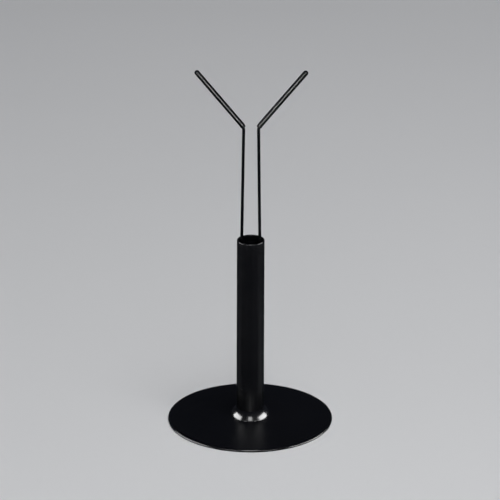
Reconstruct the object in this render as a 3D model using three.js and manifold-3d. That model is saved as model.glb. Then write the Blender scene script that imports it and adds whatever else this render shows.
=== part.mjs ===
// Adjustable wire-yoke display stand, in millimetres, +Z up.
// The origin is the centre of the circle on which the base rests, and the yoke lies in the XZ plane.
import * as THREE from "three";
import { mergeVertices } from "three/addons/utils/BufferGeometryUtils.js";
import Module from "manifold-3d";

const wasm = await Module();
wasm.setup();

// ---- Driving dimensions ----
// Pressed steel base
const BASE_RADIUS = 57.15;
const SHEET = 1.2; // sheet thickness
const RIM_RADIUS = 1.0; // radius of the rolled rim's section
const SEAT_RADIUS = 16; // flat middle, on which the tube and collar stand
const SEAT_HEIGHT = 3.9; // top of the flat middle
const SCREW_HOLE_RADIUS = 2.25;
// Post
const TUBE_RADIUS = 9.525;
const TUBE_WALL = 1.0;
const MOUTH_HEIGHT = 135.1;
const COLLAR_RADIUS = 13.9;
const COLLAR_HEIGHT = 5.4;
// Fixing in the foot of the post
const PLUG_LENGTH = 10;
const THREAD_RADIUS = 1.95;
const SCREW_HEAD_RADIUS = 4.6;
const SCREW_HEAD_HEIGHT = 1.4;
const SCREW_LENGTH = 10;
const WASHER_RADIUS = 5;
const WASHER_THICKNESS = 0.8;
// Sprung wire yoke
const WIRE_RADIUS = 1.05;
const NECK_HEIGHT = 218; // where the lines of stem and arm meet
const NECK_HALF_GAP = 5.07; // from the axis to that point
const STEM_LEAN = THREE.MathUtils.degToRad(0.79); // each stem leans in as it rises
const ARM_LEAN = THREE.MathUtils.degToRad(39);
const ARM_LENGTH = 52.3; // from that point to the outside of the sleeve's tip
const BEND_RADIUS = 7;
// Vinyl arm sleeves
const SLEEVE_RADIUS = 1.8;
const SLEEVE_BORE = 1.25;
const SLEEVED_BEND = 0.5; // share of the bend that the sleeve covers
const TIP_WALL = 1.2; // sleeve beyond the end of the wire

// Gaps between neighbouring solids
const REST_GAP = 0.05;
const FIT_GAP = 0.1;

// Facets round each kind of part
const BASE_ROUND = 96;
const POST_ROUND = 72;
const SMALL_ROUND = 36;
const WIRE_ROUND = 16;
const SLEEVE_ROUND = 24;
const TAU = 2 * Math.PI;

// ---- Materials ----
const enamel = new THREE.MeshStandardMaterial({ color: 0x0b0b0d, roughness: 0.25, metalness: 0.0 });
const vinyl = new THREE.MeshStandardMaterial({ color: 0x0d0d0f, roughness: 0.35, metalness: 0.0 });
const zinc = new THREE.MeshStandardMaterial({ color: 0xb9bcc0, roughness: 0.35, metalness: 1.0 });

const stand = new THREE.Group();

function addMesh(name, geometry, material) {
  const mesh = new THREE.Mesh(geometry, material);
  mesh.name = name;
  stand.add(mesh);
}

// ---- Solids ----
function toSolid(geometry) {
  const bare = geometry.clone();
  bare.deleteAttribute("normal");
  bare.deleteAttribute("uv");
  const merged = mergeVertices(bare, 1e-4);
  return new wasm.Manifold(
    new wasm.Mesh({
      numProp: 3,
      vertProperties: merged.getAttribute("position").array,
      triVerts: new Uint32Array(merged.index.array),
    }),
  );
}

function toGeometry(solid) {
  const mesh = solid.getMesh();
  const geometry = new THREE.BufferGeometry();
  geometry.setAttribute("position", new THREE.BufferAttribute(mesh.vertProperties, 3));
  geometry.setIndex(new THREE.BufferAttribute(mesh.triVerts, 1));
  geometry.computeVertexNormals();
  return geometry;
}

// A profile's points lie in a plane whose x is the radius and y is the height.
const at = (x, y) => new THREE.Vector2(x, y);

// Points on an arc about (x, y), from one angle to another in degrees.
function arc(x, y, radius, from, to, steps) {
  const points = [];
  for (let i = 0; i <= steps; i++) {
    const angle = THREE.MathUtils.degToRad(from + ((to - from) * i) / steps);
    points.push(at(x + radius * Math.cos(angle), y + radius * Math.sin(angle)));
  }
  return points;
}

// Turns a profile about +Z. A profile runs with its material on the left, and is closed here.
function turned(profile, segments) {
  const loop = [...profile, profile[0].clone()];
  return new THREE.LatheGeometry(loop, segments).rotateX(Math.PI / 2);
}

// ---- A bent wire: straight runs joined by arcs, in the XZ plane ----
// A station is a point and the direction of travel there. The stations stand where the wire
// changes direction, so a straight run takes a single step of the extrusion.
class WirePath extends THREE.Curve {
  constructor(x, z, heading) {
    super();
    this.stations = [{ x, z, heading }];
  }

  get end() {
    return this.stations[this.stations.length - 1];
  }

  get steps() {
    return this.stations.length - 1;
  }

  // heading is measured from +X towards +Z, in radians
  straight(length) {
    const { x, z, heading } = this.end;
    const next = { x: x + length * Math.cos(heading), z: z + length * Math.sin(heading), heading };
    this.stations.push(next);
    return this;
  }

  // angle is positive to the left of travel
  bend(radius, angle, stepAngle) {
    const count = Math.ceil(Math.abs(angle) / stepAngle);
    const side = Math.sign(angle);
    const { x, z, heading } = this.end;
    const centreX = x - side * radius * Math.sin(heading);
    const centreZ = z + side * radius * Math.cos(heading);
    for (let i = 1; i <= count; i++) {
      const turnedTo = heading + (angle * i) / count;
      this.stations.push({
        x: centreX + side * radius * Math.sin(turnedTo),
        z: centreZ - side * radius * Math.cos(turnedTo),
        heading: turnedTo,
      });
    }
    return this;
  }

  getPointAt(u, target = new THREE.Vector3()) {
    const { x, z } = this.stations[Math.round(u * this.steps)];
    return target.set(x, 0, z);
  }

  getTangentAt(u, target = new THREE.Vector3()) {
    const { heading } = this.stations[Math.round(u * this.steps)];
    return target.set(Math.cos(heading), 0, Math.sin(heading));
  }
}

function rod(path, radius, sides) {
  const section = new THREE.Shape().absarc(0, 0, radius, 0, TAU);
  return new THREE.ExtrudeGeometry(section, {
    steps: path.steps,
    curveSegments: sides / 2,
    extrudePath: path,
  });
}

// ---- Base ----
// A pressed disc: flat in the middle, then a shallow curve down to a rolled rim with a flat foot.
function basePlate() {
  const rimTop = 2 * RIM_RADIUS;
  const rimCentre = BASE_RADIUS - RIM_RADIUS;
  const run = rimCentre - SEAT_RADIUS;
  const domeTop = (r) => SEAT_HEIGHT - (SEAT_HEIGHT - rimTop) * ((r - SEAT_RADIUS) / run) ** 2;
  const domeSteps = 6;
  const footHalfWidth = 0.5;
  const innerRim = rimCentre - RIM_RADIUS;

  const dome = [];
  for (let i = 0; i <= domeSteps; i++) {
    const r = SEAT_RADIUS + ((innerRim - SEAT_RADIUS) * i) / domeSteps;
    dome.push(at(r, domeTop(r)));
  }
  const underside = dome.map((p) => at(p.x, p.y - SHEET));

  return turned(
    [
      at(SCREW_HOLE_RADIUS, SEAT_HEIGHT - SHEET),
      ...underside,
      at(rimCentre - footHalfWidth, 0),
      at(rimCentre + footHalfWidth, 0),
      ...arc(rimCentre, RIM_RADIUS, RIM_RADIUS, -45, 90, 6),
      ...dome.reverse(),
      at(SCREW_HOLE_RADIUS, SEAT_HEIGHT),
    ],
    BASE_ROUND,
  );
}

// ---- Post ----
function postTube() {
  const bore = TUBE_RADIUS - TUBE_WALL;
  const foot = SEAT_HEIGHT + REST_GAP;
  const edge = 0.35; // radius on the lips
  const footChamfer = 0.3;
  return turned(
    [
      at(bore, foot),
      at(TUBE_RADIUS - footChamfer, foot),
      at(TUBE_RADIUS, foot + footChamfer),
      ...arc(TUBE_RADIUS - edge, MOUTH_HEIGHT - edge, edge, 0, 90, 3),
      ...arc(bore + edge, MOUTH_HEIGHT - edge, edge, 90, 180, 3),
    ],
    POST_ROUND,
  );
}

// Domed ring that hides the foot of the tube. Its section is one arc, steep at the foot and
// gentler at the bore.
function footCollar() {
  const bore = TUBE_RADIUS + FIT_GAP;
  const seat = SEAT_HEIGHT + REST_GAP;
  const width = COLLAR_RADIUS - bore;
  const halfTurn = 24; // half the angle that the arc turns through, in degrees
  const slope = THREE.MathUtils.radToDeg(Math.atan2(width, COLLAR_HEIGHT));
  const radius = Math.hypot(width, COLLAR_HEIGHT) / 2 / Math.sin(THREE.MathUtils.degToRad(halfTurn));
  const footAngle = THREE.MathUtils.degToRad(slope - halfTurn);
  const centre = at(COLLAR_RADIUS - radius * Math.cos(footAngle), seat - radius * Math.sin(footAngle));
  const section = arc(centre.x, centre.y, radius, slope - halfTurn, slope + halfTurn, 8);
  return turned([at(bore, seat), ...section], POST_ROUND);
}

// Threaded plug pressed into the foot of the tube.
function tubePlug() {
  const foot = SEAT_HEIGHT + REST_GAP;
  const top = foot + PLUG_LENGTH;
  const outside = TUBE_RADIUS - TUBE_WALL - FIT_GAP;
  const bore = THREAD_RADIUS + FIT_GAP;
  const chamfer = 0.8;
  return turned(
    [
      at(bore, foot),
      at(outside, foot),
      at(outside, top - chamfer),
      at(outside - chamfer, top),
      at(bore + chamfer, top),
      at(bore, top - chamfer),
    ],
    SMALL_ROUND,
  );
}

function screwWasher() {
  const top = SEAT_HEIGHT - SHEET - REST_GAP;
  const bottom = top - WASHER_THICKNESS;
  return turned(
    [
      at(SCREW_HOLE_RADIUS, bottom),
      at(WASHER_RADIUS, bottom),
      at(WASHER_RADIUS, top),
      at(SCREW_HOLE_RADIUS, top),
    ],
    SMALL_ROUND,
  );
}

// Low truss-head machine screw with a cross recess, driven up from below.
// Its thread is drawn as a plain cylinder.
function footScrew() {
  const bearing = SEAT_HEIGHT - SHEET - WASHER_THICKNESS - 2 * REST_GAP;
  const headTop = bearing - SCREW_HEAD_HEIGHT; // the domed side, which faces down
  const headEdge = 0.4; // height of the head's rim
  const domeHeight = SCREW_HEAD_HEIGHT - headEdge;
  const end = bearing + SCREW_LENGTH;
  const point = 0.5;
  const dome = [];
  const domeSteps = 5;
  for (let i = 0; i <= domeSteps; i++) {
    const r = (SCREW_HEAD_RADIUS * i) / domeSteps;
    dome.push(at(r, headTop + domeHeight * (r / SCREW_HEAD_RADIUS) ** 2));
  }
  const blank = toSolid(
    new THREE.LatheGeometry(
      [
        ...dome,
        at(SCREW_HEAD_RADIUS, bearing),
        at(THREAD_RADIUS, bearing),
        at(THREAD_RADIUS, end - point),
        at(THREAD_RADIUS - point, end),
        at(0, end),
      ],
      SMALL_ROUND,
    ).rotateX(Math.PI / 2),
  );
  const recessWidth = 0.9;
  const recessLength = 4.4;
  const recessDepth = 0.8;
  const slot = (x, y) =>
    toSolid(new THREE.BoxGeometry(x, y, 2 * recessDepth).translate(0, 0, headTop));
  const recess = slot(recessLength, recessWidth).add(slot(recessWidth, recessLength));
  return toGeometry(blank.subtract(recess));
}

// ---- Yoke ----
const BEND_ANGLE = STEM_LEAN + ARM_LEAN;
const BEND_SETBACK = BEND_RADIUS * Math.tan(BEND_ANGLE / 2); // from the neck point to the end of the arc
const UP = Math.PI / 2;
const FINE_STEP = THREE.MathUtils.degToRad(5);
const BOW_STEP = THREE.MathUtils.degToRad(10);

// One piece of spring wire: down from the left tip, round the bow in the tube, and up to the right tip.
// The bow's outside just clears the tube's bore, which holds it sprung in.
function yokeWire() {
  const bowRadius = TUBE_RADIUS - TUBE_WALL - WIRE_RADIUS - FIT_GAP;
  const wireArm = ARM_LENGTH - TIP_WALL;
  // the stem's length, from the bend down to where it meets the bow
  const bowX = bowRadius * Math.cos(STEM_LEAN);
  const stem = (bowX - NECK_HALF_GAP) / Math.sin(STEM_LEAN) - BEND_SETBACK;
  const tipX = -NECK_HALF_GAP - wireArm * Math.sin(ARM_LEAN);
  const tipZ = NECK_HEIGHT + wireArm * Math.cos(ARM_LEAN);
  const path = new WirePath(tipX, tipZ, -UP + ARM_LEAN)
    .straight(wireArm - BEND_SETBACK)
    .bend(BEND_RADIUS, -BEND_ANGLE, FINE_STEP)
    .straight(stem)
    .bend(bowRadius, Math.PI + 2 * STEM_LEAN, BOW_STEP)
    .straight(stem)
    .bend(BEND_RADIUS, -BEND_ANGLE, FINE_STEP)
    .straight(wireArm - BEND_SETBACK);
  return rod(path, WIRE_RADIUS, WIRE_ROUND);
}

// The line that a sleeve follows, from a point on its arm down and round part of the bend.
// side is 1 on the right and -1 on the left.
function sleevePath(side, armLength) {
  const x = side * (NECK_HALF_GAP + armLength * Math.sin(ARM_LEAN));
  const z = NECK_HEIGHT + armLength * Math.cos(ARM_LEAN);
  return new WirePath(x, z, -UP - side * ARM_LEAN)
    .straight(armLength - BEND_SETBACK)
    .bend(BEND_RADIUS, side * SLEEVED_BEND * BEND_ANGLE, FINE_STEP);
}

// Closed-end vinyl sleeve over one arm and the first part of its bend.
function armSleeve(side) {
  const tipDistance = ARM_LENGTH - SLEEVE_RADIUS;
  const barrel = rod(sleevePath(side, tipDistance), SLEEVE_RADIUS, SLEEVE_ROUND);
  const tip = new THREE.SphereGeometry(SLEEVE_RADIUS, SLEEVE_ROUND, SLEEVE_ROUND / 2)
    .rotateX(Math.PI / 2) // poles along Z
    .rotateY(side * ARM_LEAN) // and then along the arm
    .translate(
      side * (NECK_HALF_GAP + tipDistance * Math.sin(ARM_LEAN)),
      0,
      NECK_HEIGHT + tipDistance * Math.cos(ARM_LEAN),
    );
  const overrun = 1;
  const endGap = 0.3; // between the end of the wire and the closed end
  const borePath = sleevePath(side, ARM_LENGTH - TIP_WALL + endGap).straight(overrun);
  const bore = rod(borePath, SLEEVE_BORE, WIRE_ROUND);
  return toGeometry(toSolid(barrel).add(toSolid(tip)).subtract(toSolid(bore)));
}

// ---- Assembly ----
addMesh("base_plate", basePlate(), enamel);
addMesh("foot_collar", footCollar(), enamel);
addMesh("post_tube", postTube(), enamel);
addMesh("tube_plug", tubePlug(), zinc);
addMesh("foot_screw", footScrew(), zinc);
addMesh("screw_washer", screwWasher(), zinc);
addMesh("yoke_wire", yokeWire(), enamel);
addMesh("left_arm_sleeve", armSleeve(-1), vinyl);
addMesh("right_arm_sleeve", armSleeve(1), vinyl);

export default stand;
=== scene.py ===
"""Looks of a wire yoke display stand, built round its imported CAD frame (Blender 4.5, metres)."""

import math

import bmesh
import bpy
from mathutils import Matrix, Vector


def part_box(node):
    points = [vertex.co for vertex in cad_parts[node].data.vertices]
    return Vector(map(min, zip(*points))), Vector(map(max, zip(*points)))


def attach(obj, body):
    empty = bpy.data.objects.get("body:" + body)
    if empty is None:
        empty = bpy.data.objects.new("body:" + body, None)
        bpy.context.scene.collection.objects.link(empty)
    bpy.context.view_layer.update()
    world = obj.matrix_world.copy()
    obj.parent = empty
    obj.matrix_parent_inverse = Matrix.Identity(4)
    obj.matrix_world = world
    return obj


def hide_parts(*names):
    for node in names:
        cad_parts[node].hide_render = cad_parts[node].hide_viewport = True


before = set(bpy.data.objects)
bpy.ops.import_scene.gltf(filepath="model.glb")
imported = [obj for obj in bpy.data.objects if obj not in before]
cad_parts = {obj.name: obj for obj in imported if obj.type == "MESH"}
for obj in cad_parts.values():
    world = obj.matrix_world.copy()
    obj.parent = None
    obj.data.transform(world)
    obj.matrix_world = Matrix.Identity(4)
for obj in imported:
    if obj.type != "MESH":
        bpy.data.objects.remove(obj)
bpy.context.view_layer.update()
MM = 0.001
TAU = 2 * math.pi

# ---- Sizes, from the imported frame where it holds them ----
base_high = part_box("base_plate")[1]
collar_low, collar_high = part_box("foot_collar")
tube_low, tube_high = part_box("post_tube")
wire_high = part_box("yoke_wire")[1]
sleeve_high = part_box("right_arm_sleeve")[1]
plug_low, plug_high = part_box("tube_plug")
screw_low, screw_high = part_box("foot_screw")
washer_low, washer_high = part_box("screw_washer")

BASE_RADIUS = base_high.x
SEAT_HEIGHT = base_high.z
SEAT_RADIUS = 16 * MM
SHEET = 1.2 * MM
RIM_RADIUS = 1.0 * MM
SCREW_HOLE_RADIUS = 2.25 * MM
TUBE_RADIUS = tube_high.x
TUBE_WALL = 1.0 * MM
FIT_GAP = 0.1 * MM
WIRE_RADIUS = wire_high.y
SLEEVE_RADIUS = sleeve_high.y
SLEEVE_BORE = 1.25 * MM
SLEEVED_BEND = 0.5  # share of the bend that a sleeve covers
TIP_WALL = 1.2 * MM
THREAD_RADIUS = 1.95 * MM

# The yoke's lines: each stem leans in as it rises, and meets its arm's line at the neck.
STEM_LEAN = math.radians(0.79)
ARM_LEAN = math.radians(39)
ARM_LENGTH = 52.3 * MM
BEND_RADIUS = 7 * MM
NECK_HALF_GAP = sleeve_high.x - SLEEVE_RADIUS - (ARM_LENGTH - SLEEVE_RADIUS) * math.sin(ARM_LEAN)
NECK_HEIGHT = sleeve_high.z - SLEEVE_RADIUS - (ARM_LENGTH - SLEEVE_RADIUS) * math.cos(ARM_LEAN)
BEND_ANGLE = STEM_LEAN + ARM_LEAN
BEND_SETBACK = BEND_RADIUS * math.tan(BEND_ANGLE / 2)

ROUND = 192  # facets round the base and the post
SMALL_ROUND = 72  # facets round the plug, the screw and the washer
ENAMEL_IOR = 1.5  # of the black enamel and the vinyl


# ---- Mesh helpers ----
def add_object(name, bm, material, smooth_angle=35):
    """Turns a bmesh into an object, smooth where its faces meet at under smooth_angle degrees."""
    bmesh.ops.recalc_face_normals(bm, faces=bm.faces)
    limit = math.radians(smooth_angle)
    for face in bm.faces:
        face.smooth = True
    for edge in bm.edges:
        edge.smooth = not edge.is_manifold or edge.calc_face_angle(0) < limit
    mesh = bpy.data.meshes.new(name)
    bm.to_mesh(mesh)
    bm.free()
    mesh.materials.append(material)
    obj = bpy.data.objects.new(name, mesh)
    bpy.context.scene.collection.objects.link(obj)
    return obj


def arc(r, z, radius, start, end, steps):
    """Points (radius, height) on a circle about (r, z), from one angle to another in degrees."""
    points = []
    for i in range(steps + 1):
        angle = math.radians(start + (end - start) * i / steps)
        points.append((r + radius * math.cos(angle), z + radius * math.sin(angle)))
    return points


def stretch(start, end, steps):
    """Points from start up to but not including end, on a straight line."""
    return [
        (start[0] + (end[0] - start[0]) * i / steps, start[1] + (end[1] - start[1]) * i / steps)
        for i in range(steps)
    ]


def turned(profile, segments=ROUND):
    """A closed profile of (radius, height) turned about the Z axis. Radius 0 makes a pole."""
    bm = bmesh.new()
    angles = [TAU * k / segments for k in range(segments)]
    rings = []
    for r, z in profile:
        if r < 1e-9:
            rings.append([bm.verts.new((0, 0, z))])
        else:
            rings.append([bm.verts.new((r * math.cos(a), r * math.sin(a), z)) for a in angles])
    for first, second in zip(rings, rings[1:] + rings[:1]):
        for k in range(segments):
            corners = [first[k % len(first)], first[(k + 1) % len(first)]]
            corners += [second[(k + 1) % len(second)], second[k % len(second)]]
            corners = list(dict.fromkeys(corners))
            if len(corners) > 2:
                bm.faces.new(corners)
    return bm


class Path:
    """A line in the XZ plane, as stations (x, z, heading). Heading is measured from +X towards +Z."""

    def __init__(self, x, z, heading):
        self.stations = [(x, z, heading)]

    def straight(self, length, steps=1):
        x, z, heading = self.stations[-1]
        for i in range(1, steps + 1):
            run = length * i / steps
            self.stations.append((x + run * math.cos(heading), z + run * math.sin(heading), heading))
        return self

    def bend(self, radius, angle, steps):
        x, z, heading = self.stations[-1]
        side = math.copysign(1, angle)
        centre_x = x - side * radius * math.sin(heading)
        centre_z = z + side * radius * math.cos(heading)
        for i in range(1, steps + 1):
            turned_to = heading + angle * i / steps
            self.stations.append(
                (
                    centre_x + side * radius * math.sin(turned_to),
                    centre_z - side * radius * math.cos(turned_to),
                    turned_to,
                )
            )
        return self


def ring_at(bm, station, radius, sides, ahead=0.0):
    """A circle of vertices square to the path at a station, moved ahead along the path's direction."""
    x, z, heading = station
    along = Vector((math.cos(heading), 0, math.sin(heading)))
    across = Vector((-math.sin(heading), 0, math.cos(heading)))
    sideways = Vector((0, 1, 0))
    centre = Vector((x, 0, z)) + along * ahead
    angles = [TAU * k / sides for k in range(sides)]
    return [bm.verts.new(centre + radius * (math.cos(a) * across + math.sin(a) * sideways)) for a in angles]


def join_rings(bm, rings):
    for first, second in zip(rings, rings[1:]):
        for k in range(len(first)):
            following = (k + 1) % len(first)
            bm.faces.new((first[k], first[following], second[following], second[k]))


# ---- Node helpers ----
class Nodes:
    """Short calls for building a procedural material's node tree."""

    def __init__(self, name):
        self.material = bpy.data.materials.new(name)
        self.material.use_nodes = True
        self.tree = self.material.node_tree
        self.shader = self.tree.nodes["Principled BSDF"]
        coordinates = self.tree.nodes.new("ShaderNodeTexCoord")
        self.place = coordinates.outputs["Object"]

    def feed(self, name, source):
        """Links a varying value to an input of the shader."""
        self.link(source, self.shader.inputs[name])

    def link(self, source, socket):
        if isinstance(source, (int, float)):
            socket.default_value = source
        else:
            self.tree.links.new(source, socket)

    def math(self, operation, first, second=0.0, clamp=False):
        node = self.tree.nodes.new("ShaderNodeMath")
        node.operation = operation
        node.use_clamp = clamp
        self.link(first, node.inputs[0])
        self.link(second, node.inputs[1])
        return node.outputs[0]

    def stretched(self, scale):
        node = self.tree.nodes.new("ShaderNodeVectorMath")
        node.operation = "MULTIPLY"
        self.link(self.place, node.inputs[0])
        node.inputs[1].default_value = scale
        return node.outputs[0]

    def noise(self, size, detail=2.0, roughness=0.5, vector=None):
        """Noise from 0 to 1 whose features are about size metres across."""
        node = self.tree.nodes.new("ShaderNodeTexNoise")
        node.inputs["Scale"].default_value = 1 / size
        node.inputs["Detail"].default_value = detail
        node.inputs["Roughness"].default_value = roughness
        self.link(vector or self.place, node.inputs["Vector"])
        return node.outputs["Fac"]

    def cracks(self, size, vector=None):
        """Distance to the nearest edge of a cell pattern, for hairlines."""
        node = self.tree.nodes.new("ShaderNodeTexVoronoi")
        node.feature = "DISTANCE_TO_EDGE"
        node.inputs["Scale"].default_value = 1 / size
        self.link(vector or self.place, node.inputs["Vector"])
        return node.outputs["Distance"]

    def specks(self, size):
        node = self.tree.nodes.new("ShaderNodeTexVoronoi")
        node.inputs["Scale"].default_value = 1 / size
        self.link(self.place, node.inputs["Vector"])
        return node.outputs["Distance"]

    def ramp(self, value, low, high, to_low=0.0, to_high=1.0):
        """Maps low..high on to to_low..to_high, held at the ends."""
        node = self.tree.nodes.new("ShaderNodeMapRange")
        node.clamp = True
        self.link(value, node.inputs["Value"])
        node.inputs["From Min"].default_value = low
        node.inputs["From Max"].default_value = high
        node.inputs["To Min"].default_value = to_low
        node.inputs["To Max"].default_value = to_high
        return node.outputs["Result"]

    def mix(self, factor, first, second):
        node = self.tree.nodes.new("ShaderNodeMix")
        node.data_type = "RGBA"
        self.link(factor, node.inputs["Factor"])
        for value, socket in ((first, node.inputs[6]), (second, node.inputs[7])):
            if isinstance(value, tuple):
                socket.default_value = (*value, 1)
            else:
                self.link(value, socket)
        return node.outputs[2]

    def bump(self, height, distance, under=None):
        """Adds a bump whose full height is distance metres."""
        node = self.tree.nodes.new("ShaderNodeBump")
        node.inputs["Strength"].default_value = 1
        node.inputs["Distance"].default_value = distance
        self.link(height, node.inputs["Height"])
        if under is not None:
            self.link(under, node.inputs["Normal"])
        return node.outputs["Normal"]

    def facing_up(self, low=0.5, high=0.95):
        """1 where the normal's height is over high, 0 where it is under low."""
        geometry = self.tree.nodes.new("ShaderNodeNewGeometry")
        parts = self.tree.nodes.new("ShaderNodeSeparateXYZ")
        self.link(geometry.outputs["Normal"], parts.inputs[0])
        return self.ramp(parts.outputs["Z"], low, high)


# ---- Materials ----
def enamel():
    """Baked gloss black enamel over pressed steel."""
    n = Nodes("enamel")
    up = n.facing_up()
    film = n.facing_up(0.93, 0.99)  # the flat faces are duller
    smears = n.noise(14 * MM, detail=4, roughness=0.6)
    hairline = n.ramp(n.cracks(11 * MM, n.stretched((1, 0.35, 1))), 0.0, 0.006, 1, 0)
    hairline = n.math("MULTIPLY", hairline, n.ramp(n.noise(9 * MM), 0.5, 0.7))
    dust = n.ramp(n.specks(1.9 * MM), 0.05, 0.09, 1, 0)
    dust = n.math("MULTIPLY", dust, n.ramp(n.noise(6 * MM, detail=3), 0.52, 0.66))
    dust = n.math("MULTIPLY", dust, up)
    tone = n.mix(n.noise(25 * MM, detail=3), (0.0026, 0.0028, 0.0040), (0.0042, 0.0044, 0.0058))
    tone = n.mix(n.math("MULTIPLY", hairline, 0.3), tone, (0.02, 0.02, 0.022))
    n.feed("Base Color", n.mix(n.math("MULTIPLY", dust, 0.5), tone, (0.09, 0.088, 0.085)))
    rough = n.ramp(smears, 0.3, 0.75, 0.17, 0.23)
    rough = n.math("ADD", rough, n.math("MULTIPLY", film, 0.18))
    n.feed("Specular IOR Level", n.ramp(film, 0, 1, 0.5, 0.12))
    rough = n.math("ADD", rough, n.math("MULTIPLY", hairline, 0.12))
    rough = n.math("ADD", rough, n.math("MULTIPLY", dust, 0.4), clamp=True)
    n.feed("Roughness", rough)
    peel = n.bump(n.noise(1.6 * MM, detail=1.5), 0.0035 * MM)
    waves = n.bump(n.noise(22 * MM, detail=1), 0.06 * MM, peel)
    n.feed("Normal", waves)
    n.shader.inputs["IOR"].default_value = ENAMEL_IOR
    return n.material


def wire_enamel():
    """Thin black enamel on spring wire, with faint lengthwise rubs."""
    n = Nodes("wire_enamel")
    lengthwise = n.stretched((1, 1, 0.04))
    rubs = n.ramp(n.noise(0.7 * MM, detail=2, vector=lengthwise), 0.64, 0.8)
    tone = n.mix(n.noise(6 * MM, detail=3), (0.0028, 0.0029, 0.0040), (0.0050, 0.0052, 0.0064))
    n.feed("Base Color", n.mix(n.math("MULTIPLY", rubs, 0.2), tone, (0.016, 0.016, 0.018)))
    rough = n.ramp(n.noise(2.5 * MM, detail=3), 0.3, 0.7, 0.11, 0.16)
    n.feed("Roughness", n.math("ADD", rough, n.math("MULTIPLY", rubs, 0.08)))
    n.feed("Normal", n.bump(n.noise(1.2 * MM, detail=2), 0.002 * MM))
    n.shader.inputs["IOR"].default_value = ENAMEL_IOR
    return n.material


def vinyl():
    """Soft black vinyl tube."""
    n = Nodes("vinyl")
    tone = n.mix(n.noise(4 * MM, detail=3), (0.0034, 0.0035, 0.0045), (0.0060, 0.0062, 0.0072))
    lint = n.ramp(n.specks(1.3 * MM), 0.04, 0.08, 1, 0)
    lint = n.math("MULTIPLY", lint, n.ramp(n.noise(3 * MM), 0.56, 0.66))
    n.feed("Base Color", n.mix(n.math("MULTIPLY", lint, 0.4), tone, (0.08, 0.08, 0.078)))
    rough = n.ramp(n.noise(1.8 * MM, detail=4), 0.3, 0.7, 0.05, 0.09)
    n.feed("Roughness", n.math("ADD", rough, n.math("MULTIPLY", lint, 0.3)))
    grain = n.bump(n.noise(0.5 * MM, detail=2), 0.0012 * MM)
    n.feed("Normal", n.bump(n.noise(5 * MM, detail=1), 0.02 * MM, grain))
    n.shader.inputs["IOR"].default_value = ENAMEL_IOR
    return n.material


def zinc():
    """Bright zinc plating, a little blotchy, with fine turning marks."""
    n = Nodes("zinc_plated_steel")
    blotches = n.noise(1.5 * MM, detail=4, roughness=0.6)
    n.feed("Base Color", n.mix(blotches, (0.46, 0.47, 0.49), (0.66, 0.66, 0.65)))
    n.feed("Roughness", n.ramp(blotches, 0.3, 0.7, 0.28, 0.45))
    n.shader.inputs["Metallic"].default_value = 1
    n.feed("Normal", n.bump(n.noise(0.2 * MM, detail=2), 0.004 * MM))
    return n.material


ENAMEL = enamel()
WIRE_ENAMEL = wire_enamel()
VINYL = vinyl()
ZINC = zinc()


# ---- Pieces ----
def install(piece, node, body):
    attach(piece, body)
    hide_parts(node)


def base_plate():
    """Pressed disc: flat in the middle, a shallow crown, and a rolled rim with a flat foot."""
    rim_centre = BASE_RADIUS - RIM_RADIUS
    rim_top = 2 * RIM_RADIUS
    inner_rim = rim_centre - RIM_RADIUS
    run = rim_centre - SEAT_RADIUS

    def crown(r):
        return SEAT_HEIGHT - (SEAT_HEIGHT - rim_top) * (max(0, r - SEAT_RADIUS) / run) ** 2

    steps = 40
    radii = [SCREW_HOLE_RADIUS + (inner_rim - SCREW_HOLE_RADIUS) * i / steps for i in range(steps + 1)]
    foot_half_width = 0.5 * MM
    profile = [(r, crown(r) - SHEET) for r in radii]
    profile += [(rim_centre - foot_half_width, 0), (rim_centre, 0), (rim_centre + foot_half_width, 0)]
    profile += arc(rim_centre, RIM_RADIUS, RIM_RADIUS, -45, 90, 18)
    profile += [(r, crown(r)) for r in reversed(radii)]
    install(add_object("base_disc", turned(profile), ENAMEL), "base_plate", "base")


def foot_collar():
    """Domed ring whose section is one arc, steep at the foot and gentler at the bore."""
    bore = TUBE_RADIUS + FIT_GAP
    width = collar_high.x - bore
    height = collar_high.z - collar_low.z
    half_turn = 24  # half of the arc, in degrees
    slope = math.degrees(math.atan2(width, height))
    radius = math.hypot(width, height) / 2 / math.sin(math.radians(half_turn))
    foot_angle = math.radians(slope - half_turn)
    centre_r = collar_high.x - radius * math.cos(foot_angle)
    centre_z = collar_low.z - radius * math.sin(foot_angle)
    profile = [(bore, collar_low.z)]
    profile += arc(centre_r, centre_z, radius, slope - half_turn, slope + half_turn, 32)
    profile += stretch((bore, collar_high.z), (bore, collar_low.z), 6)[1:]
    install(add_object("collar_ring", turned(profile), ENAMEL), "foot_collar", "base")


def post_tube():
    """Tube with a chamfered foot and a mouth rounded over the whole of its wall."""
    bore = TUBE_RADIUS - TUBE_WALL
    lip = TUBE_WALL / 2
    foot_chamfer = 0.3 * MM
    foot, mouth = tube_low.z, tube_high.z
    side_steps, lip_steps = 24, 20
    profile = stretch((bore, foot), (TUBE_RADIUS - foot_chamfer, foot), 2)
    profile += arc(TUBE_RADIUS - foot_chamfer, foot + foot_chamfer, foot_chamfer, -90, 0, 4)
    profile += stretch((TUBE_RADIUS, foot + foot_chamfer), (TUBE_RADIUS, mouth - lip), side_steps)[1:]
    profile += arc(TUBE_RADIUS - lip, mouth - lip, lip, 0, 180, lip_steps)
    profile += stretch((bore, mouth - lip), (bore, foot), side_steps)[1:]
    install(add_object("tube", turned(profile), ENAMEL), "post_tube", "post")


def tube_plug():
    """Plug with both of its top edges chamfered."""
    outside = plug_high.x
    bore = THREAD_RADIUS + FIT_GAP
    chamfer = 0.8 * MM
    foot, top = plug_low.z, plug_high.z
    profile = [
        (bore, foot),
        (outside, foot),
        (outside, top - chamfer),
        (outside - chamfer, top),
        (bore + chamfer, top),
        (bore, top - chamfer),
    ]
    plug = add_object("threaded_plug", turned(profile, SMALL_ROUND), ZINC)
    install(plug, "tube_plug", "post")


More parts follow.
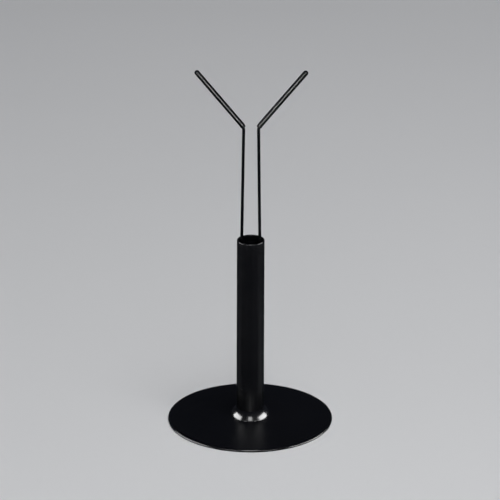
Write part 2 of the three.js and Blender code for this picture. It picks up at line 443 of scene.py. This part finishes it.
def screw_washer():
    edge = 0.15 * MM
    inside, outside = SCREW_HOLE_RADIUS, washer_high.x
    bottom, top = washer_low.z, washer_high.z
    profile = [(inside, bottom + edge), (inside + edge, bottom)]
    profile += arc(outside - edge, bottom + edge, edge, -90, 0, 4)
    profile += arc(outside - edge, top - edge, edge, 0, 90, 4)
    profile += [(inside + edge, top), (inside, top - edge)]
    washer = add_object("washer", turned(profile, SMALL_ROUND), ZINC)
    install(washer, "screw_washer", "base")


def cut(piece, tool):
    """Cuts tool out of piece for good."""
    modifier = piece.modifiers.new("cut", "BOOLEAN")
    modifier.object = tool
    modifier.operation = "DIFFERENCE"
    modifier.solver = "EXACT"
    bpy.context.view_layer.update()
    evaluated = piece.evaluated_get(bpy.context.evaluated_depsgraph_get())
    finished = bpy.data.meshes.new_from_object(evaluated)
    piece.modifiers.clear()
    piece.data = finished
    bpy.data.objects.remove(tool)


def foot_screw():
    """Low truss-head screw with a cross recess that tapers inwards."""
    head_radius = screw_high.x
    head_edge = 0.4 * MM
    head_height = 1.4 * MM
    bearing = screw_low.z + head_height
    dome_height = bearing - head_edge - screw_low.z
    end, point = screw_high.z, 0.5 * MM
    steps = 16
    profile = []
    for i in range(steps + 1):
        share = i / steps
        profile.append((head_radius * share, screw_low.z + dome_height * share**2))
    profile += [
        (head_radius, bearing),
        (THREAD_RADIUS, bearing),
        (THREAD_RADIUS, end - point),
        (THREAD_RADIUS - point, end),
        (0, end),
    ]
    screw = add_object("screw", turned(profile, SMALL_ROUND), ZINC)
    width, length, depth = 0.9 * MM, 4.4 * MM, 0.8 * MM
    floor_share = 0.55  # how much of its length the recess keeps at its floor
    for x, y in ((length, width), (width, length)):
        bm = bmesh.new()
        bmesh.ops.create_cube(bm, size=1)
        for vertex in bm.verts:
            share = floor_share if vertex.co.z > 0 else 2 - floor_share
            vertex.co = Vector((vertex.co.x * x * share, vertex.co.y * y, vertex.co.z * 2 * depth))
            vertex.co.z += screw_low.z
        cut(screw, add_object("recess", bm, ZINC))
    install(screw, "foot_screw", "post")


def yoke_wire():
    """One piece of spring wire from tip to tip, with its bow down in the tube."""
    bow_radius = TUBE_RADIUS - TUBE_WALL - WIRE_RADIUS - FIT_GAP
    arm = ARM_LENGTH - TIP_WALL
    bow_x = bow_radius * math.cos(STEM_LEAN)
    stem = (bow_x - NECK_HALF_GAP) / math.sin(STEM_LEAN) - BEND_SETBACK
    tip_x = -NECK_HALF_GAP - arm * math.sin(ARM_LEAN)
    tip_z = NECK_HEIGHT + arm * math.cos(ARM_LEAN)
    arm_steps, bend_steps, bow_steps, stem_steps = 8, 16, 36, 40
    path = Path(tip_x, tip_z, ARM_LEAN - math.pi / 2)
    path.straight(arm - BEND_SETBACK, arm_steps).bend(BEND_RADIUS, -BEND_ANGLE, bend_steps)
    path.straight(stem, stem_steps).bend(bow_radius, math.pi + 2 * STEM_LEAN, bow_steps)
    path.straight(stem, stem_steps).bend(BEND_RADIUS, -BEND_ANGLE, bend_steps)
    path.straight(arm - BEND_SETBACK, arm_steps)
    sides, edge = 32, 0.2 * MM
    bm = bmesh.new()
    rings = [ring_at(bm, path.stations[0], WIRE_RADIUS - edge, sides)]
    rings.append(ring_at(bm, path.stations[0], WIRE_RADIUS, sides, edge))
    rings += [ring_at(bm, station, WIRE_RADIUS, sides) for station in path.stations[1:-1]]
    rings.append(ring_at(bm, path.stations[-1], WIRE_RADIUS, sides, -edge))
    rings.append(ring_at(bm, path.stations[-1], WIRE_RADIUS - edge, sides))
    join_rings(bm, rings)
    bm.faces.new(rings[0])
    bm.faces.new(rings[-1])
    install(add_object("wire", bm, WIRE_ENAMEL), "yoke_wire", "yoke")


def arm_sleeve(name, node, side):
    """Closed-end vinyl sleeve over an arm and part of its bend. side is 1 on the right, -1 on the left."""
    sides = 40
    arm_steps, bend_steps, edge_steps, tip_steps = 40, 12, 5, 12

    def line(arm_length):
        x = side * (NECK_HALF_GAP + arm_length * math.sin(ARM_LEAN))
        z = NECK_HEIGHT + arm_length * math.cos(ARM_LEAN)
        path = Path(x, z, -math.pi / 2 - side * ARM_LEAN).straight(arm_length - BEND_SETBACK, arm_steps)
        return path.bend(BEND_RADIUS, side * SLEEVED_BEND * BEND_ANGLE, bend_steps).stations

    bm = bmesh.new()
    outside = line(ARM_LENGTH - SLEEVE_RADIUS)
    # the rounded closed end, from its pole, which starts as a tiny ring and is merged at the end
    pole_radius, merge_distance = 0.0001 * MM, 0.001 * MM
    pole = ring_at(bm, outside[0], pole_radius, sides, -SLEEVE_RADIUS)
    rings = [pole]
    for i in range(1, tip_steps):
        angle = math.pi / 2 * i / tip_steps
        r, back = SLEEVE_RADIUS * math.sin(angle), -SLEEVE_RADIUS * math.cos(angle)
        rings.append(ring_at(bm, outside[0], r, sides, back))
    rings += [ring_at(bm, station, SLEEVE_RADIUS, sides) for station in outside[:-1]]
    # the cut end, with its two edges rounded
    edge = 0.22 * MM
    cut_end = arc(SLEEVE_RADIUS - edge, -edge, edge, 0, 90, edge_steps)
    cut_end += arc(SLEEVE_BORE + edge, -edge, edge, 90, 180, edge_steps)
    for r, ahead in cut_end:
        rings.append(ring_at(bm, outside[-1], r, sides, ahead))
    # the bore, up to its blind end
    end_gap = 0.3 * MM
    inside = line(ARM_LENGTH - TIP_WALL + end_gap)
    rings += [ring_at(bm, station, SLEEVE_BORE, sides) for station in reversed(inside[:-1])]
    join_rings(bm, rings)
    bm.faces.new(rings[-1])
    bmesh.ops.remove_doubles(bm, verts=pole, dist=merge_distance)
    install(add_object(name, bm, VINYL), node, "yoke")


base_plate()
foot_collar()
post_tube()
tube_plug()
screw_washer()
foot_screw()
yoke_wire()
arm_sleeve("sleeve_left", "left_arm_sleeve", -1)
arm_sleeve("sleeve_right", "right_arm_sleeve", 1)


# ---- Studio ----
# Azimuth 0 is the camera's side, and it turns towards +X. Azimuths and elevations here are in degrees.
# name, azimuths, radiance
LEANING_SOFTBOXES = (("left_softbox", (-110, -57), 16), ("right_softbox", (54, 110), 18))
SOFTBOX_DROP = math.radians(11)  # how steeply they fall away outwards
SOFTBOX_STRIPS = (("near", 0.225, 0.32), ("middle", 0.32, 0.48), ("far", 0.48, 0.78))  # reach in metres

# name, azimuths, elevations, distance in metres, radiance
FRONT_PANELS = (
    ("front_softbox", (-11, 11), (11, 50), 2.5, 9),
    ("left_room", (-35, -20), (-1.5, 2.5), 6.0, 38),
    ("right_room", (20, 35), (-1.5, 2.5), 6.0, 38),
)
RIM_PANELS = (
    ("left_rim_glint", (-115, -57), (-9, -1), 2.5, 38),
    ("right_rim_glint", (54, 115), (-9, -1), 2.5, 38),
)
LOW_PANELS = (
    ("left_low_glow", (-114, -90), (-30, -14), 0.52, 0.08),
    ("right_low_glow", (72, 114), (-30, -14), 0.52, 0.13),
)

FILL_PLACE = (0.5, -0.9, 2.4)
FILL_SIZE = (2.0, 2.0)
FILL_RADIANCE = 5.0

MIRRORED_ROOM = (0.024, 0.027, 0.036, 1)  # what the black surfaces mirror
PALE_ROOM = (0.72, 0.73, 0.75, 1)  # what is seen beyond the floor


def towards(azimuth, elevation, distance):
    """A place seen from the origin, with its angles in radians."""
    flat = distance * math.cos(elevation)
    return Vector((flat * math.sin(azimuth), -flat * math.cos(azimuth), distance * math.sin(elevation)))


def aim(obj, place, target):
    obj.location = place
    obj.rotation_euler = (Vector(target) - Vector(place)).to_track_quat("-Z", "Y").to_euler()


def area_light(name, place, target, size, radiance):
    """A one-sided rectangular light whose own brightness is radiance."""
    data = bpy.data.lights.new(name, "AREA")
    data.shape = "RECTANGLE"
    data.size, data.size_y = size
    data.energy = radiance * math.pi * size[0] * size[1]
    obj = bpy.data.objects.new(name, data)
    bpy.context.scene.collection.objects.link(obj)
    aim(obj, place, target)
    obj.visible_camera = False
    return obj


def reflected_panel(name, azimuths, elevations, distance, radiance):
    """An upright softbox that shows only as a reflection. Its edges are given as seen from the origin."""
    half_width = math.radians(azimuths[1] - azimuths[0]) / 2
    middle = math.radians(sum(azimuths) / 2)
    low, high = (distance * math.tan(math.radians(e)) for e in elevations)
    level = Vector((0, 0, (low + high) / 2))
    size = (2 * distance * math.tan(half_width), high - low)
    panel = area_light(name, towards(middle, 0, distance) + level, level, size, radiance)
    panel.visible_diffuse = False
    return panel


def leaning_softbox(name, azimuths, radiance, receivers):
    """A softbox that leans in over the stand, as strips in one plane that widens outwards.

    The plane passes through the neck of the yoke and faces down, so the post's foot sees all of it, and the
    neck sees it edge on. It lights what receivers allows.
    """
    middle = math.radians(sum(azimuths) / 2)
    half_width = math.radians(azimuths[1] - azimuths[0]) / 2
    for part, near, far in SOFTBOX_STRIPS:
        reach = (near + far) / 2
        place = towards(middle, 0, reach) + Vector((0, 0, NECK_HEIGHT - reach * math.tan(SOFTBOX_DROP)))
        facing = towards(middle, 0, -math.sin(SOFTBOX_DROP)) - Vector((0, 0, math.cos(SOFTBOX_DROP)))
        size = (2 * reach * math.tan(half_width), (far - near) / math.cos(SOFTBOX_DROP))
        strip = area_light(f"{name}_{part}", place, place + facing, size, radiance)
        strip.visible_diffuse = False
        strip.light_linking.receiver_collection = receivers


def light_receivers(name, state):
    """What a light reaches: the base alone if state is INCLUDE, all but the base if it is EXCLUDE."""
    receivers = bpy.data.collections.new(name)
    receivers.objects.link(bpy.data.objects["base_disc"])
    receivers.collection_objects[0].light_linking.link_state = state
    return receivers


def pale_floor():
    """The floor isn't mirrored and casts no shadow, so the black surfaces keep their dark look."""
    mesh = bpy.data.meshes.new("floor")
    reach = 8
    corners = [(-reach, -reach, 0), (reach, -reach, 0), (reach, reach, 0), (-reach, reach, 0)]
    mesh.from_pydata(corners, [], [(0, 1, 2, 3)])
    floor = bpy.data.objects.new("floor", mesh)
    bpy.context.scene.collection.objects.link(floor)
    n = Nodes("pale_floor")
    n.feed("Base Color", n.mix(n.noise(0.4, detail=3), (0.70, 0.705, 0.715), (0.735, 0.74, 0.75)))
    n.shader.inputs["Roughness"].default_value = 0.9
    n.shader.inputs["Specular IOR Level"].default_value = 0.0
    mesh.materials.append(n.material)
    floor.visible_glossy = False
    floor.visible_shadow = False


def lights():
    fill = area_light("overhead_fill", FILL_PLACE, (0, 0, 0), FILL_SIZE, FILL_RADIANCE)
    fill.visible_glossy = False
    # The softboxes leave out the base, which would mirror them as a white sheet when seen from the side.
    all_but_base = light_receivers("all_but_base", "EXCLUDE")
    for name, azimuths, radiance in LEANING_SOFTBOXES:
        leaning_softbox(name, azimuths, radiance, all_but_base)
    for panel in FRONT_PANELS:
        reflected_panel(*panel)
    # Low panels for the base alone: its rounded rim mirrors them as a hairline, its flat top doesn't.
    base_alone = light_receivers("base_alone", "INCLUDE")
    for panel in RIM_PANELS:
        reflected_panel(*panel).light_linking.receiver_collection = base_alone
    for panel in LOW_PANELS:
        reflected_panel(*panel)


def surroundings():
    """A world that is pale where the camera sees it, and dark to every other ray."""
    world = bpy.data.worlds.new("studio")
    bpy.context.scene.world = world
    world.use_nodes = True
    tree = world.node_tree
    path = tree.nodes.new("ShaderNodeLightPath")
    mix = tree.nodes.new("ShaderNodeMix")
    mix.data_type = "RGBA"
    mix.inputs[6].default_value = MIRRORED_ROOM
    mix.inputs[7].default_value = PALE_ROOM
    tree.links.new(path.outputs["Is Camera Ray"], mix.inputs["Factor"])
    tree.links.new(mix.outputs[2], tree.nodes["Background"].inputs["Color"])


def camera():
    """A long lens from 22 degrees above, square to the yoke."""
    elevation = math.radians(22.32)
    distance = 3.444
    target = Vector((-0.0005, 0, 0.1273))
    roll = math.radians(0.2)
    data = bpy.data.cameras.new("camera")
    data.sensor_width = 36
    data.lens = 360
    data.clip_end = 40
    obj = bpy.data.objects.new("camera", data)
    bpy.context.scene.collection.objects.link(obj)
    aim(obj, target + towards(0, elevation, distance), target)
    obj.rotation_euler.rotate_axis("Z", roll)
    bpy.context.scene.camera = obj


pale_floor()
lights()
surroundings()
camera()
bpy.context.scene.view_settings.view_transform = "Standard"
